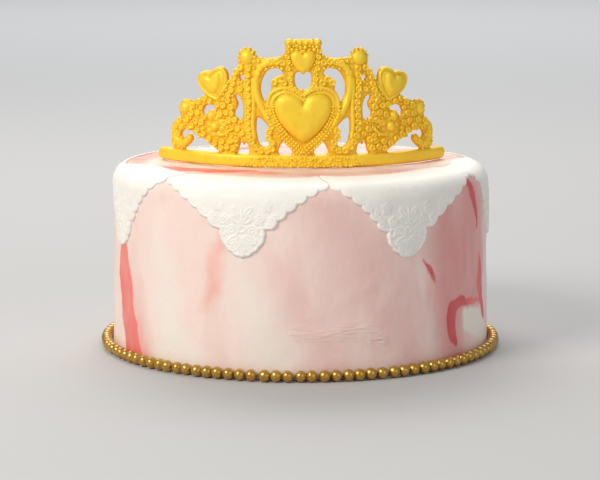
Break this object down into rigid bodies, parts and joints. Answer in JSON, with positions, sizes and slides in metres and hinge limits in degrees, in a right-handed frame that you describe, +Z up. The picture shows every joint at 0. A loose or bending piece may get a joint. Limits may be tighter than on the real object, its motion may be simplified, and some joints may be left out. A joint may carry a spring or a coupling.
{
  "type": "round cake with sugar tiara",
  "caption": "Round celebration cake in marbled sugar paste with white lace doilies over the rim, a gold pearl border and a gold tiara standing on top.",
  "frame": {"origin": "middle of the underside, on the surface the cake stands on", "axes": "+Z up, -Y towards the front, which the open side of the tiara faces away from, +X towards the right seen from the front"},
  "size_m": [0.2326, 0.2326, 0.1789],
  "materials": {
    "sugar_paste": "satin sugar paste, cream marbled with pink and salmon red",
    "white_paste": "matt embossed white sugar paste",
    "gold_pearl": "antique gold pearl lustre",
    "gold_lustre": "bright gold lustre paint on gum paste"
  },
  "bodies": {
    "root": {"cake_body": "sugar_paste", "pearl_border": "gold_pearl", "lace_panel_1": "white_paste", "lace_panel_2": "white_paste", "lace_panel_3": "white_paste", "lace_panel_4": "white_paste", "lace_panel_5": "white_paste", "lace_panel_6": "white_paste", "lace_panel_7": "white_paste", "tiara": "gold_lustre"}
  },
  "joints": []
}
